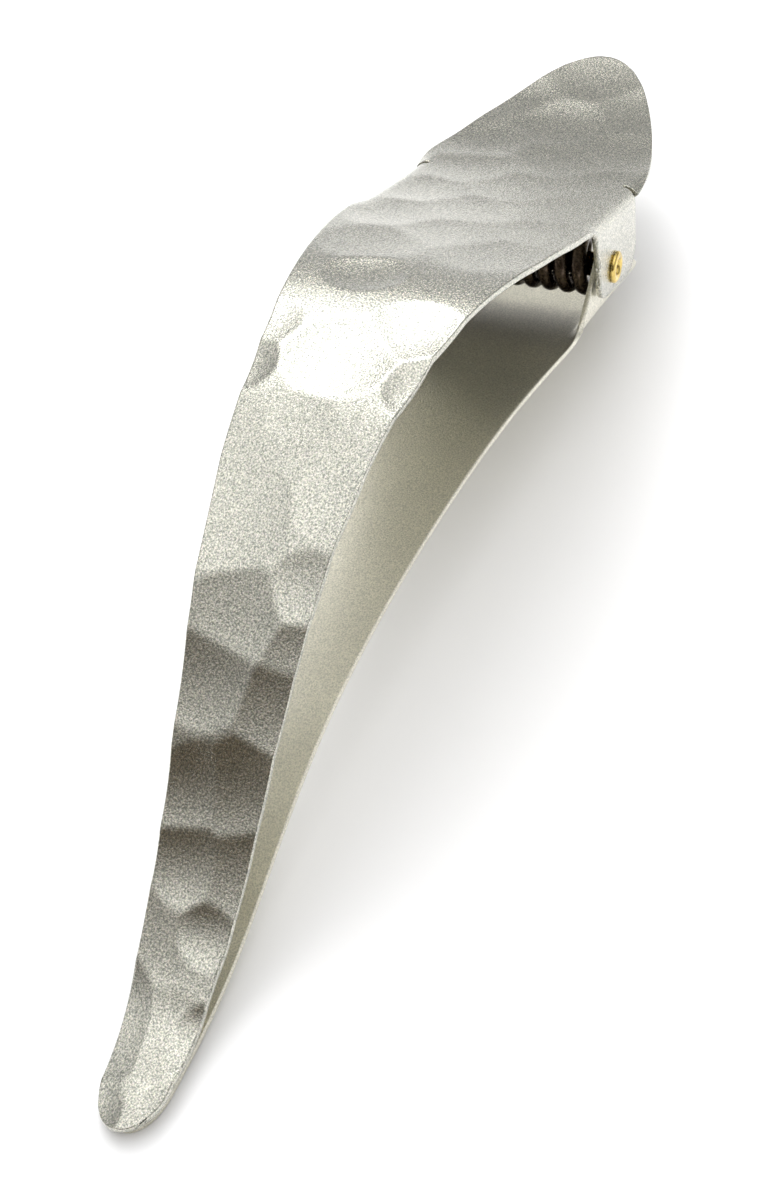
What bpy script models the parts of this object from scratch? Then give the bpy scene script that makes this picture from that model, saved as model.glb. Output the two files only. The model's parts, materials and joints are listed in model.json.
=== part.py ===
"""Sprung alligator hair clip: two arched sheet jaws, a tubular hinge pin and a coil spring.

The clip lies on its lower jaw on z = 0 and points along +X. The hinge axis runs along Y.
Lengths are in metres.
"""
import math

import bmesh
import bpy
import numpy as np

MM = 0.001

# Reaches, measured along X from the hinge axis
UPPER_REACH = 87.0 * MM
UPPER_TAIL_REACH = 35.2 * MM
LOWER_REACH = 86.4 * MM
LOWER_TAIL_REACH = 22.0 * MM

# Heights above the surface the clip lies on, at the middle of the sheet
PIN_HEIGHT = 13.1 * MM
UPPER_STANDOFF = 4.85 * MM    # upper sheet above the hinge axis
LOWER_STANDOFF = 4.6 * MM     # lower sheet below the hinge axis
UPPER_TIP_HEIGHT = 1.35 * MM
UPPER_TAIL_HEIGHT = 12.4 * MM
UPPER_RISE = 17.2 * MM        # bow of the upper jaw above the line from hinge to tip
LOWER_RISE = 7.2 * MM         # the same for the lower jaw
LOWER_TAIL_BOW = 0.4 * MM

# Bow of each jaw in front of the hinge: share of the reach, share of the rise
UPPER_BOW = ((0.15, 0.443), (0.33, 0.89), (0.49, 1.0), (0.63, 0.817), (0.77, 0.327), (0.90, -0.011))
LOWER_BOW = ((0.18, 0.74), (0.42, 1.016), (0.65, 0.842), (0.85, 0.045))

# Widths
HINGE_HALF_WIDTH = 10.9 * MM  # to the outer face of the upper ears
UPPER_TIP_HALF_WIDTH = 2.6 * MM
LOWER_TIP_HALF_WIDTH = 2.3 * MM
TAPER = ((0.0, 1.0), (0.09, 0.988), (0.25, 0.762), (0.41, 0.501), (0.575, 0.314),
         (0.735, 0.153), (0.875, 0.061), (0.955, 0.0))
TIP_ROUND_LENGTH = 4.0 * MM
TAIL_FLARE = 0.8 * MM         # thumb tab wider than the ears, each side
TAIL_WAIST = 0.7 * MM         # its narrowing towards the slots behind the ears, each side
WAIST_LENGTH = 8.0 * MM
TAIL_ROUNDING = 1.13
LOWER_TAIL_HALF_WIDTH = 5.6 * MM
LOWER_TAIL_ROUND = 5.0 * MM

# Sheet
UPPER_SHEET = 0.55 * MM
LOWER_SHEET = 0.5 * MM
BEND_RADIUS = 0.8 * MM        # inside of the ear folds
EAR_GAP = 0.3 * MM            # between the upper and the lower ear
RELIEF = 0.5 * MM             # length of the slot behind each ear
EAR_BLEND = 2.0 * MM          # length over which the blade edge runs into the fold

# Ears, measured along the blade from the hinge axis, and past the axis
UPPER_EAR_FRONT = 4.4 * MM
UPPER_EAR_REAR = 7.6 * MM
UPPER_EAR_PAST_AXIS = 2.3 * MM
UPPER_EAR_CORNER = 2.4 * MM
LOWER_EAR_FRONT = 7.2 * MM
LOWER_EAR_REAR = 10.0 * MM
LOWER_EAR_TOP = 2.6 * MM      # radius of its top, round the hinge axis

# Hinge pin, a tubular rivet
PIN_RADIUS = 1.1 * MM
PIN_BORE = 0.6 * MM
PIN_CLEARANCE = 0.06 * MM
FLANGE_RADIUS = 1.45 * MM
FLANGE_THICKNESS = 0.7 * MM
FLANGE_GAP = 0.3 * MM
FLARE_RADIUS = 0.95 * MM
FLARE_DEPTH = 0.5 * MM

# Torsion spring
WIRE_RADIUS = 0.7 * MM
COIL_CLEARANCE = 0.4 * MM     # between the coil and the pin
COIL_RADIUS = PIN_RADIUS + COIL_CLEARANCE + WIRE_RADIUS
TURNS = 10
SPRING_GAP = 0.3 * MM         # to the ears and to the tails
UPPER_LEG_REACH = 16.0 * MM
LOWER_LEG_REACH = 9.4 * MM

# Fineness of the shapes
STATION_STEP = 2.0 * MM
BEND_STEPS = 4
EAR_STEPS = 10
COIL_POINTS = 14
ROUND_STEPS = 28

PIN_X = (UPPER_TAIL_REACH - UPPER_REACH) / 2.0


def smooth_curve(points):
    """Natural cubic spline through (x, z) points; returns its value and its slope at x."""
    xs, zs = (np.array(v, float) for v in zip(*sorted(points)))
    step = np.diff(xs)
    matrix = np.eye(len(xs))
    right = np.zeros(len(xs))
    for i in range(1, len(xs) - 1):
        matrix[i, i - 1:i + 2] = step[i - 1], 2.0 * (step[i - 1] + step[i]), step[i]
        right[i] = 6.0 * ((zs[i + 1] - zs[i]) / step[i] - (zs[i] - zs[i - 1]) / step[i - 1])
    bend = np.linalg.solve(matrix, right)

    def value(x):
        i = int(np.clip(np.searchsorted(xs, x) - 1, 0, len(xs) - 2))
        a, b, h = xs[i + 1] - x, x - xs[i], step[i]
        rise = zs[i + 1] / h - bend[i + 1] * h / 6.0
        fall = zs[i] / h - bend[i] * h / 6.0
        height = (bend[i] * a ** 3 + bend[i + 1] * b ** 3) / (6.0 * h) + fall * a + rise * b
        slope = (bend[i + 1] * b ** 2 - bend[i] * a ** 2) / (2.0 * h) + rise - fall
        return height, slope

    return value


def bowed(reach, hinge_height, tip_height, rise, bow):
    """Points of a jaw in front of the hinge, bowed above the straight line to its tip."""
    points = [(0.0, hinge_height), (reach, tip_height)]
    for share, lift in bow:
        line = hinge_height + share * (tip_height - hinge_height)
        points.append((share * reach, line + lift * rise))
    return points


def jaw_curves():
    """Height of both sheets over the hinge axis, along X from the hinge axis."""
    slope = UPPER_RISE * UPPER_BOW[0][1] / (UPPER_BOW[0][0] * UPPER_REACH)
    upper_hinge = PIN_HEIGHT + UPPER_STANDOFF * math.hypot(1.0, slope)
    lower_hinge = PIN_HEIGHT - LOWER_STANDOFF
    rest = LOWER_SHEET / 2.0
    upper = bowed(UPPER_REACH, upper_hinge, UPPER_TIP_HEIGHT, UPPER_RISE, UPPER_BOW)
    upper.append((-UPPER_TAIL_REACH, UPPER_TAIL_HEIGHT))
    upper.append((-0.53 * UPPER_TAIL_REACH, UPPER_TAIL_HEIGHT + 0.16 * (upper_hinge - UPPER_TAIL_HEIGHT)))
    lower = bowed(LOWER_REACH, lower_hinge, rest, LOWER_RISE, LOWER_BOW)
    lower.append((-LOWER_TAIL_REACH, rest))
    lower.append((-0.5 * LOWER_TAIL_REACH, 0.5 * (lower_hinge + rest) + LOWER_TAIL_BOW))
    return (smooth_curve([(x, z - PIN_HEIGHT) for x, z in upper]),
            smooth_curve([(x, z - PIN_HEIGHT) for x, z in lower]))


def frame_at(curve, x):
    """Point, tangent and upward normal of a jaw's profile, as (x, z) pairs."""
    height, slope = curve(x)
    length = math.hypot(1.0, slope)
    return (x, height), (1.0 / length, slope / length), (-slope / length, 1.0 / length)


def blade_half_width(x, reach, hinge_half_width, tip_half_width):
    """Half-width of a blade in front of its ears, with an elliptical tip."""
    taper = smooth_curve([(share, value) for share, value in TAPER])
    share = min(x / reach, TAPER[-1][0])
    width = tip_half_width + (hinge_half_width - tip_half_width) * taper(share)[0]
    into_tip = max(0.0, (x - (reach - TIP_ROUND_LENGTH)) / TIP_ROUND_LENGTH)
    return width * math.sqrt(max(0.0, 1.0 - into_tip ** 2))


def upper_tail_half_width(x, rear):
    """Half-width of the thumb tab, which narrows from the ears to a round end."""
    behind = max(0.0, -x - rear)
    share = min(1.0, behind / (UPPER_TAIL_REACH - rear))
    waist = TAIL_WAIST * max(0.0, 1.0 - behind / WAIST_LENGTH) ** 2
    return (HINGE_HALF_WIDTH + TAIL_FLARE) * math.sqrt(1.0 - share ** TAIL_ROUNDING) - waist


def lower_tail_half_width(x, rear):
    """Half-width of the lower finger tab: parallel sides and a round end."""
    into_end = max(0.0, (-x - (LOWER_TAIL_REACH - LOWER_TAIL_ROUND)) / LOWER_TAIL_ROUND)
    return LOWER_TAIL_HALF_WIDTH * math.sqrt(max(0.0, 1.0 - into_end ** 2))


def stations(start, end):
    """Evenly spaced stations from start to end."""
    count = max(2, round(abs(end - start) / STATION_STEP))
    return list(np.linspace(start, end, count + 1))


def round_end(start, end, count=5):
    """Stations that crowd together towards a round end."""
    return [start + (end - start) * math.sin(0.5 * math.pi * i / count) for i in range(1, count + 1)]


def rounded_ear_edge(front, rear, depth, corner):
    """Free edge of a flap with two rounded corners, front to rear, as (along, past axis) pairs."""
    points = []
    half = EAR_STEPS // 2
    for i in range(half + 1):
        turn = 0.5 * math.pi * i / half
        points.append((front - corner + corner * math.cos(turn), depth - corner + corner * math.sin(turn)))
    for i in range(half + 1):
        turn = 0.5 * math.pi * i / half
        points.append((-rear + corner - corner * math.sin(turn), depth - corner + corner * math.cos(turn)))
    return points


def round_ear_edge(front, rear, root, radius):
    """Free edge of a flap that closes tangentially round the hinge axis, front to rear."""
    start = math.atan2(-root, front) + math.acos(radius / math.hypot(front, root))
    end = math.atan2(-root, -rear) + 2.0 * math.pi - math.acos(radius / math.hypot(rear, root))
    count = EAR_STEPS + 1
    return [(radius * math.cos(start + (end - start) * i / count),
             radius * math.sin(start + (end - start) * i / count)) for i in range(count + 1)]


def sheet_jaw(name, curve, reach, tail_reach, half_widths, fold, ear_span, ear_edge, ear_side, sheet):
    """Half of a jaw as an open sheet, mirrored and thickened: blade, tail and one folded ear.

    ear_side is -1 when the ears hang below the blade and +1 when they stand up from it.
    ear_edge holds (along, past axis) pairs in the blade's own directions at the hinge axis.
    """
    front, rear = ear_span
    front_width, rear_width = half_widths
    radius = BEND_RADIUS + sheet / 2.0
    inner = fold - radius
    bm = bmesh.new()

    ear_stations = list(np.linspace(front, -rear, len(ear_edge)))
    tip_start = reach - TIP_ROUND_LENGTH
    ahead = stations(front + EAR_BLEND, tip_start)
    tail_start = -rear - RELIEF
    back_round = -tail_reach + LOWER_TAIL_ROUND
    behind = stations(tail_start, back_round)
    rows = [(x, rear_width(x, rear)) for x in reversed(round_end(back_round, -tail_reach))]
    rows += [(x, rear_width(x, rear)) for x in reversed(behind)]
    rows += [(x, inner) for x in reversed(ear_stations)]
    rows += [(x, front_width(x)) for x in ahead]
    rows += [(x, front_width(x)) for x in round_end(tip_start, reach)]

    shares = (0.0, 0.5, 1.0)
    grid = []
    for x, width in rows:
        (px, pz), _, _ = frame_at(curve, x)
        grid.append([bm.verts.new((px, width * share, pz)) for share in shares])
    for low, high in zip(grid, grid[1:]):
        for i in range(len(shares) - 1):
            bm.faces.new((low[i], high[i], high[i + 1], low[i + 1]))

    first = len(round_end(0.0, 1.0)) + len(behind)
    roots = [grid[first + len(ear_stations) - 1 - i][-1] for i in range(len(ear_stations))]
    _, along, normal = frame_at(curve, 0.0)
    strips = [roots]
    for k in range(1, BEND_STEPS + 1):
        turn = 0.5 * math.pi * k / BEND_STEPS
        strip = []
        for x in ear_stations:
            (px, pz), _, (nx, nz) = frame_at(curve, x)
            drop = ear_side * radius * (1.0 - math.cos(turn))
            strip.append(bm.verts.new((px + nx * drop, inner + radius * math.sin(turn), pz + nz * drop)))
        strips.append(strip)
    for k in range(1, 4):
        strip = []
        for vert, (u, v) in zip(strips[BEND_STEPS], ear_edge):
            end_x = u * along[0] + ear_side * v * normal[0]
            end_z = u * along[1] + ear_side * v * normal[1]
            share = k / 3.0
            strip.append(bm.verts.new((vert.co.x + share * (end_x - vert.co.x), fold,
                                       vert.co.z + share * (end_z - vert.co.z))))
        strips.append(strip)
    for upper, lower in zip(strips, strips[1:]):
        for i in range(len(ear_stations) - 1):
            bm.faces.new((upper[i + 1], upper[i], lower[i], lower[i + 1]))
    edge = grid[first + len(ear_stations)][-1]
    for upper, lower in zip(strips[:BEND_STEPS], strips[1:]):
        bm.faces.new((edge, upper[0], lower[0]))

    bmesh.ops.remove_doubles(bm, verts=bm.verts, dist=1e-6)
    bmesh.ops.recalc_face_normals(bm, faces=bm.faces)
    if sum(face.normal.z for face in bm.faces) < 0.0:
        bmesh.ops.reverse_faces(bm, faces=bm.faces)
    part = new_mesh_object(name, bm)

    mirror = part.modifiers.new("Mirror", 'MIRROR')
    mirror.use_axis = (False, True, False)
    mirror.merge_threshold = 0.00001
    thickness = part.modifiers.new("Thickness", 'SOLIDIFY')
    thickness.thickness = sheet
    thickness.offset = 0.0
    thickness.use_even_offset = True
    return part


def new_mesh_object(name, bm):
    """Object from a bmesh, in the clip's collection."""
    mesh = bpy.data.meshes.new(name)
    bm.to_mesh(mesh)
    bm.free()
    part = bpy.data.objects.new(name, mesh)
    clip.objects.link(part)
    return part


def drill(part, cutter):
    """Pin holes through both ears of a jaw."""
    hole = part.modifiers.new("Pin holes", 'BOOLEAN')
    hole.operation = 'DIFFERENCE'
    hole.solver = 'EXACT'
    hole.object = cutter


def pin_cutter():
    """Drill that is as wide as the pin's running fit and longer than the clip is wide."""
    bm = bmesh.new()
    bmesh.ops.create_cone(bm, cap_ends=True, segments=ROUND_STEPS, radius1=PIN_RADIUS + PIN_CLEARANCE,
                          radius2=PIN_RADIUS + PIN_CLEARANCE, depth=4.0 * HINGE_HALF_WIDTH)
    mesh = bpy.data.meshes.new("pin_drill")
    bm.to_mesh(mesh)
    bm.free()
    cutter = bpy.data.objects.new("pin_drill", mesh)
    cutter.rotation_euler = (math.pi / 2.0, 0.0, 0.0)
    cutter.location = hinge_axis.location
    cutter.hide_render = True
    cutter.display_type = 'WIRE'
    cutters.objects.link(cutter)
    return cutter


def hinge_pin():
    """Tubular rivet turned about Z and laid along Y, with a flared flange on each end."""
    flange_in = HINGE_HALF_WIDTH + FLANGE_GAP
    end = flange_in + FLANGE_THICKNESS
    half = [(PIN_RADIUS, 0.0), (PIN_RADIUS, flange_in), (FLANGE_RADIUS, flange_in),
            (FLANGE_RADIUS, end - 0.45 * FLANGE_THICKNESS), (FLANGE_RADIUS - 0.18 * MM, end - 0.12 * MM),
            (FLARE_RADIUS + 0.12 * MM, end), (FLARE_RADIUS, end - 0.08 * MM),
            (PIN_BORE, end - FLARE_DEPTH), (PIN_BORE, 0.0)]
    outer = [point for point in half if point[0] > FLARE_RADIUS]
    inner = [point for point in half if point[0] <= FLARE_RADIUS]
    outline = list(reversed(outer))
    outline += [(r, -z) for r, z in outer[1:]]
    outline += [(r, -z) for r, z in inner]
    outline += list(reversed(inner))[1:]
    bm = bmesh.new()
    verts = [bm.verts.new((r, 0.0, z)) for r, z in outline]
    for i, vert in enumerate(verts):
        bm.edges.new((vert, verts[(i + 1) % len(verts)]))
    pin = new_mesh_object("hinge_pin", bm)
    turn = pin.modifiers.new("Turned", 'SCREW')
    turn.axis = 'Z'
    turn.steps = ROUND_STEPS
    turn.render_steps = ROUND_STEPS
    turn.use_merge_vertices = True
    turn.merge_threshold = 0.00001
    pin.rotation_euler = (math.pi / 2.0, 0.0, 0.0)
    return pin


def tangent_angle(point, radius, side):
    """Angle, about the hinge axis, where a straight leg from point leaves the coil."""
    x, z = point
    return math.atan2(z, x) + side * math.acos(radius / math.hypot(x, z))


def torsion_spring(upper, lower):
    """Coil round the hinge axis with one leg under each tail."""
    reach_y = HINGE_HALF_WIDTH - UPPER_SHEET - EAR_GAP - LOWER_SHEET - SPRING_GAP - WIRE_RADIUS
    (ux, uz), _, (unx, unz) = frame_at(upper, -UPPER_LEG_REACH)
    (lx, lz), _, (lnx, lnz) = frame_at(lower, -LOWER_LEG_REACH)
    upper_off = UPPER_SHEET / 2.0 + SPRING_GAP + WIRE_RADIUS
    lower_off = LOWER_SHEET / 2.0 + SPRING_GAP + WIRE_RADIUS
    upper_end = (ux - unx * upper_off, uz - unz * upper_off)
    lower_end = (lx + lnx * lower_off, lz + lnz * lower_off)
    start = tangent_angle(lower_end, COIL_RADIUS, 1.0)
    stop = tangent_angle(upper_end, COIL_RADIUS, -1.0)
    while start > -0.25 * math.pi:
        start -= 2.0 * math.pi
    while stop < start:
        stop += 2.0 * math.pi
    stop += 2.0 * math.pi * TURNS
    points = [(lower_end[0], reach_y, lower_end[1])]
    count = round((stop - start) / (2.0 * math.pi) * COIL_POINTS)
    for i in range(count + 1):
        angle = start + (stop - start) * i / count
        points.append((COIL_RADIUS * math.cos(angle), reach_y - 2.0 * reach_y * i / count,
                       COIL_RADIUS * math.sin(angle)))
    points.append((upper_end[0], -reach_y, upper_end[1]))

    curve = bpy.data.curves.new("torsion_spring", 'CURVE')
    curve.dimensions = '3D'
    curve.bevel_depth = WIRE_RADIUS
    curve.bevel_resolution = 2
    curve.use_fill_caps = True
    spline = curve.splines.new('POLY')
    spline.points.add(len(points) - 1)
    for slot, point in zip(spline.points, points):
        slot.co = (*point, 1.0)
    spring = bpy.data.objects.new("torsion_spring", curve)
    clip.objects.link(spring)
    return spring


def finish(part, colour, metallic, roughness):
    """Material and smooth shading of one piece."""
    material = bpy.data.materials.new(part.name)
    material.use_nodes = True
    surface = material.node_tree.nodes["Principled BSDF"]
    surface.inputs["Base Color"].default_value = (*colour, 1.0)
    surface.inputs["Metallic"].default_value = metallic
    surface.inputs["Roughness"].default_value = roughness
    material.diffuse_color = (*colour, 1.0)
    part.data.materials.append(material)
    if part.type == 'MESH':
        part.data.shade_smooth()


for leftover in list(bpy.data.objects):
    bpy.data.objects.remove(leftover, do_unlink=True)

clip = bpy.data.collections.new("alligator_hair_clip")
cutters = bpy.data.collections.new("cutters")
for collection in (clip, cutters):
    bpy.context.scene.collection.children.link(collection)

hinge_axis = bpy.data.objects.new("hinge_axis", None)
hinge_axis.location = (PIN_X, 0.0, PIN_HEIGHT)
hinge_axis.empty_display_size = 0.01
clip.objects.link(hinge_axis)

upper_curve, lower_curve = jaw_curves()
upper_fold = HINGE_HALF_WIDTH - UPPER_SHEET / 2.0
lower_half_width = HINGE_HALF_WIDTH - UPPER_SHEET - EAR_GAP
lower_fold = lower_half_width - LOWER_SHEET / 2.0

upper_jaw = sheet_jaw(
    "upper_jaw", upper_curve, UPPER_REACH, UPPER_TAIL_REACH,
    (lambda x: blade_half_width(x, UPPER_REACH, HINGE_HALF_WIDTH, UPPER_TIP_HALF_WIDTH),
     upper_tail_half_width),
    upper_fold, (UPPER_EAR_FRONT, UPPER_EAR_REAR),
    rounded_ear_edge(UPPER_EAR_FRONT, UPPER_EAR_REAR, UPPER_EAR_PAST_AXIS, UPPER_EAR_CORNER),
    -1.0, UPPER_SHEET)
lower_jaw = sheet_jaw(
    "lower_jaw", lower_curve, LOWER_REACH, LOWER_TAIL_REACH,
    (lambda x: blade_half_width(x, LOWER_REACH, lower_half_width, LOWER_TIP_HALF_WIDTH),
     lower_tail_half_width),
    lower_fold, (LOWER_EAR_FRONT, LOWER_EAR_REAR),
    round_ear_edge(LOWER_EAR_FRONT, LOWER_EAR_REAR, LOWER_STANDOFF, LOWER_EAR_TOP),
    1.0, LOWER_SHEET)
pin = hinge_pin()
spring = torsion_spring(upper_curve, lower_curve)

drill_bit = pin_cutter()
drill(upper_jaw, drill_bit)
drill(lower_jaw, drill_bit)

for piece in (upper_jaw, pin):
    piece.parent = hinge_axis
for piece in (lower_jaw, spring):
    piece.location = hinge_axis.location

finish(upper_jaw, (0.60, 0.58, 0.52), 1.0, 0.36)
finish(lower_jaw, (0.62, 0.60, 0.55), 1.0, 0.38)
finish(pin, (0.78, 0.56, 0.22), 1.0, 0.28)
finish(spring, (0.24, 0.21, 0.18), 1.0, 0.40)
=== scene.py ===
# %% [markdown]
# # A sprung hair clip in hammered sheet
# The clip has four real pieces: a hammered upper jaw, a plain lower jaw, a tubular rivet that is the
# hinge, and a coil spring round it, whose wire is painted near-black as painted shade. The imported CAD
# model fixes where each piece is and how it moves. This script makes the fine surfaces over it: the
# hammer marks, the rolled rivet and the wire.
# Each cell makes one thing, and says first what that thing is on a real clip.
# %% The fixed frame
import json
import math

import bpy
import numpy as np
from mathutils import Matrix, Vector


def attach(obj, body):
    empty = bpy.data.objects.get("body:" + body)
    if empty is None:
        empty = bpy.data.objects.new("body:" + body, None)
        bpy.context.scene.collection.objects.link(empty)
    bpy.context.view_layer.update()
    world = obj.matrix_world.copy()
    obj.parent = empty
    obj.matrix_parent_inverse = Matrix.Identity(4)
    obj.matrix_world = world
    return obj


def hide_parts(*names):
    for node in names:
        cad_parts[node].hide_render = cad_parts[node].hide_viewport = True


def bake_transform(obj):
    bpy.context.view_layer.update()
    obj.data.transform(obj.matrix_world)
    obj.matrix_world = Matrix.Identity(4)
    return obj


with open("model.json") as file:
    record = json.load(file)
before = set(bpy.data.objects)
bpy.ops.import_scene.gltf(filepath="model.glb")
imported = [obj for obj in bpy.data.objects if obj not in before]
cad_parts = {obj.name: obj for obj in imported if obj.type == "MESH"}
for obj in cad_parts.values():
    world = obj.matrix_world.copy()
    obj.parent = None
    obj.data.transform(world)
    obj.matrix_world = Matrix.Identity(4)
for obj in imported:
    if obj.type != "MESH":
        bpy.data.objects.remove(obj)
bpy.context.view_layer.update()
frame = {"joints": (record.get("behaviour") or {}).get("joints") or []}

MM = 0.001

# %% [markdown]
# ## The camera
# The clip is seen from in front of its tip and well above it, so the long curved blade runs down the
# picture and the thumb tab ends at the top. A camera is an object whose own -Z axis looks ahead. The
# direction it looks in and its upward direction give that turn, as a matrix of three columns.
# %% Camera
CAMERA_PLACE = Vector((113.85, 52.81, 120.85)) * MM
look = Vector((-0.6292, -0.3113, -0.7122)).normalized()
leaning = Vector((-0.6951, -0.1846, 0.6948))
side = look.cross(leaning).normalized()
upward = side.cross(look)
camera_data = bpy.data.cameras.new("camera")
camera_data.sensor_fit = 'VERTICAL'
camera_data.sensor_height = 36.0
camera_data.lens = 59.04
camera_data.clip_start = 0.01
camera = bpy.data.objects.new("camera", camera_data)
bpy.context.scene.collection.objects.link(camera)
turn = [[side[i], upward[i], -look[i]] for i in range(3)]
camera.matrix_world = Matrix.Translation(CAMERA_PLACE) @ Matrix(turn).to_4x4()
bpy.context.scene.camera = camera
print("camera height, mm:", round(camera.matrix_world.translation.z / MM, 1))

# %% [markdown]
# ## The shape of the two sheets
# Each jaw is a strip of sheet bent along its length, so one smooth line gives its height at every
# place along the clip, and a second gives its half-width. The numbers repeat those of the CAD part:
# distances run forward from the hinge, heights are over the hinge. A natural cubic spline is used
# because a bent metal strip takes that shape by itself.
# %% Height and width of the jaws
hinge = next(joint for joint in frame["joints"] if joint["name"] == "jaw_hinge")
PIN_X, PIN_Z = hinge["pos_m"][0], hinge["pos_m"][2]
UPPER_REACH, UPPER_TAIL = 87.0 * MM, 35.2 * MM
LOWER_REACH, LOWER_TAIL = 86.4 * MM, 22.0 * MM
HALF_WIDTH = 10.9 * MM          # over the outer faces of the upper ears
UPPER_SHEET, LOWER_SHEET = 0.55 * MM, 0.5 * MM
EAR_GAP = 0.3 * MM              # between an upper ear and a lower one
TIP_ROUND = 4.0 * MM            # length of the elliptical tips
UPPER_TIP, LOWER_TIP = 2.6 * MM, 2.3 * MM       # half-widths where the tips begin
UPPER_RISE, LOWER_RISE = 17.2 * MM, 7.2 * MM    # bow above the straight line from hinge to tip
UPPER_OFF_AXIS, LOWER_OFF_AXIS = 4.85 * MM, 4.6 * MM    # from the hinge axis to the sheets
UPPER_TIP_HEIGHT, UPPER_TAIL_HEIGHT = 1.35 * MM, 12.4 * MM
# Each point of a bow is a share of the reach and a share of the rise, and of the taper a share of the
# reach and a share of the widening from tip to hinge
UPPER_BOW = ((0.15, 0.443), (0.33, 0.89), (0.49, 1.0), (0.63, 0.817), (0.77, 0.327), (0.90, -0.011))
LOWER_BOW = ((0.18, 0.74), (0.42, 1.016), (0.65, 0.842), (0.85, 0.045))
TAPER = ((0.0, 1.0), (0.09, 0.988), (0.25, 0.762), (0.41, 0.501), (0.575, 0.314),
         (0.735, 0.153), (0.875, 0.061), (0.955, 0.0))


def spline(points):
    """Natural cubic spline through (x, y) points, as a function of an array of x: height and slope."""
    xs, ys = (np.array(v, float) for v in zip(*sorted(points)))
    step = np.diff(xs)
    matrix, right = np.eye(len(xs)), np.zeros(len(xs))
    for i in range(1, len(xs) - 1):
        matrix[i, i - 1:i + 2] = step[i - 1], 2.0 * (step[i - 1] + step[i]), step[i]
        right[i] = 6.0 * ((ys[i + 1] - ys[i]) / step[i] - (ys[i] - ys[i - 1]) / step[i - 1])
    bend = np.linalg.solve(matrix, right)

    def value(x):
        x = np.atleast_1d(np.asarray(x, float))
        i = np.clip(np.searchsorted(xs, x) - 1, 0, len(xs) - 2)
        a, b, h = xs[i + 1] - x, x - xs[i], step[i]
        rise, fall = ys[i + 1] / h - bend[i + 1] * h / 6.0, ys[i] / h - bend[i] * h / 6.0
        height = (bend[i] * a ** 3 + bend[i + 1] * b ** 3) / (6.0 * h) + fall * a + rise * b
        slope = (bend[i + 1] * b ** 2 - bend[i] * a ** 2) / (2.0 * h) + rise - fall
        return height, slope

    return value


def jaw_line(reach, hinge, tip, rise, bow, tail):
    """The bent line of one jaw, with heights over the hinge axis."""
    points = [(0.0, hinge), (reach, tip)]
    points += [(share * reach, hinge + share * (tip - hinge) + lift * rise) for share, lift in bow]
    return spline(points + tail)


climb = UPPER_RISE * UPPER_BOW[0][1] / (UPPER_BOW[0][0] * UPPER_REACH)
upper_root = UPPER_OFF_AXIS * math.hypot(1.0, climb)
tail_end = UPPER_TAIL_HEIGHT - PIN_Z
upper_waist = (-0.53 * UPPER_TAIL, tail_end + 0.16 * (upper_root - tail_end))
upper_line = jaw_line(UPPER_REACH, upper_root, UPPER_TIP_HEIGHT - PIN_Z, UPPER_RISE, UPPER_BOW,
                      [(-UPPER_TAIL, tail_end), upper_waist])
on_table = LOWER_SHEET / 2.0 - PIN_Z
lower_waist = (-0.5 * LOWER_TAIL, 0.5 * (on_table - LOWER_OFF_AXIS) + 0.4 * MM)
lower_line = jaw_line(LOWER_REACH, -LOWER_OFF_AXIS, on_table, LOWER_RISE, LOWER_BOW,
                      [(-LOWER_TAIL, on_table), lower_waist])
taper = spline(TAPER)


def blade_half_width(x, reach, widest, tip):
    """Half-width in front of the ears, with an elliptical tip."""
    width = tip + (widest - tip) * taper(np.minimum(x / reach, TAPER[-1][0]))[0]
    into_tip = np.clip((x - (reach - TIP_ROUND)) / TIP_ROUND, 0.0, 1.0)
    return width * np.sqrt(1.0 - into_tip ** 2)


UPPER_EAR_FRONT, UPPER_EAR_REAR = 4.4 * MM, 7.6 * MM      # ear lengths ahead of the axis and behind it
LOWER_EAR_FRONT, LOWER_EAR_REAR = 7.2 * MM, 10.0 * MM
FLARE, WAIST, WAIST_LENGTH = 0.8 * MM, 0.7 * MM, 8.0 * MM
FINGER_HALF_WIDTH, FINGER_ROUND = 5.6 * MM, 5.0 * MM


def upper_tail_half_width(x):
    """Half-width of the thumb tab, from its waist behind the ears to its round end."""
    behind = np.maximum(0.0, -x - UPPER_EAR_REAR)
    share = np.minimum(1.0, behind / (UPPER_TAIL - UPPER_EAR_REAR))
    waist = WAIST * np.maximum(0.0, 1.0 - behind / WAIST_LENGTH) ** 2
    return (HALF_WIDTH + FLARE) * np.sqrt(1.0 - share ** 1.13) - waist


def lower_tail_half_width(x):
    """Half-width of the finger tab: parallel sides and a round end."""
    into_end = np.clip((-x - (LOWER_TAIL - FINGER_ROUND)) / FINGER_ROUND, 0.0, 1.0)
    return FINGER_HALF_WIDTH * np.sqrt(1.0 - into_end ** 2)


crest_height = float(upper_line(np.linspace(0.0, UPPER_REACH, 400))[0].max()) + PIN_Z
print("crest of the upper jaw, mm:", round(crest_height / MM, 2))

# %% [markdown]
# ## Helpers for working on a mesh
# Operators act on whatever is selected, so every step starts by clearing the selection, and a new
# primitive becomes the only active object.
# %% Selection helpers


def select_none():
    """Deselect every object."""
    for other in bpy.context.selected_objects:
        other.select_set(False)


def only(piece):
    """Make one object the selected and active one."""
    select_none()
    bpy.context.view_layer.objects.active = piece
    piece.select_set(True)


def coordinates(piece):
    """All points of a mesh, one row each."""
    points = np.empty(len(piece.data.vertices) * 3)
    piece.data.vertices.foreach_get("co", points)
    return points.reshape(-1, 3)


def set_coordinates(piece, points):
    """Move all points of a mesh to these rows."""
    piece.data.vertices.foreach_set("co", points.ravel())
    piece.data.update()


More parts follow.
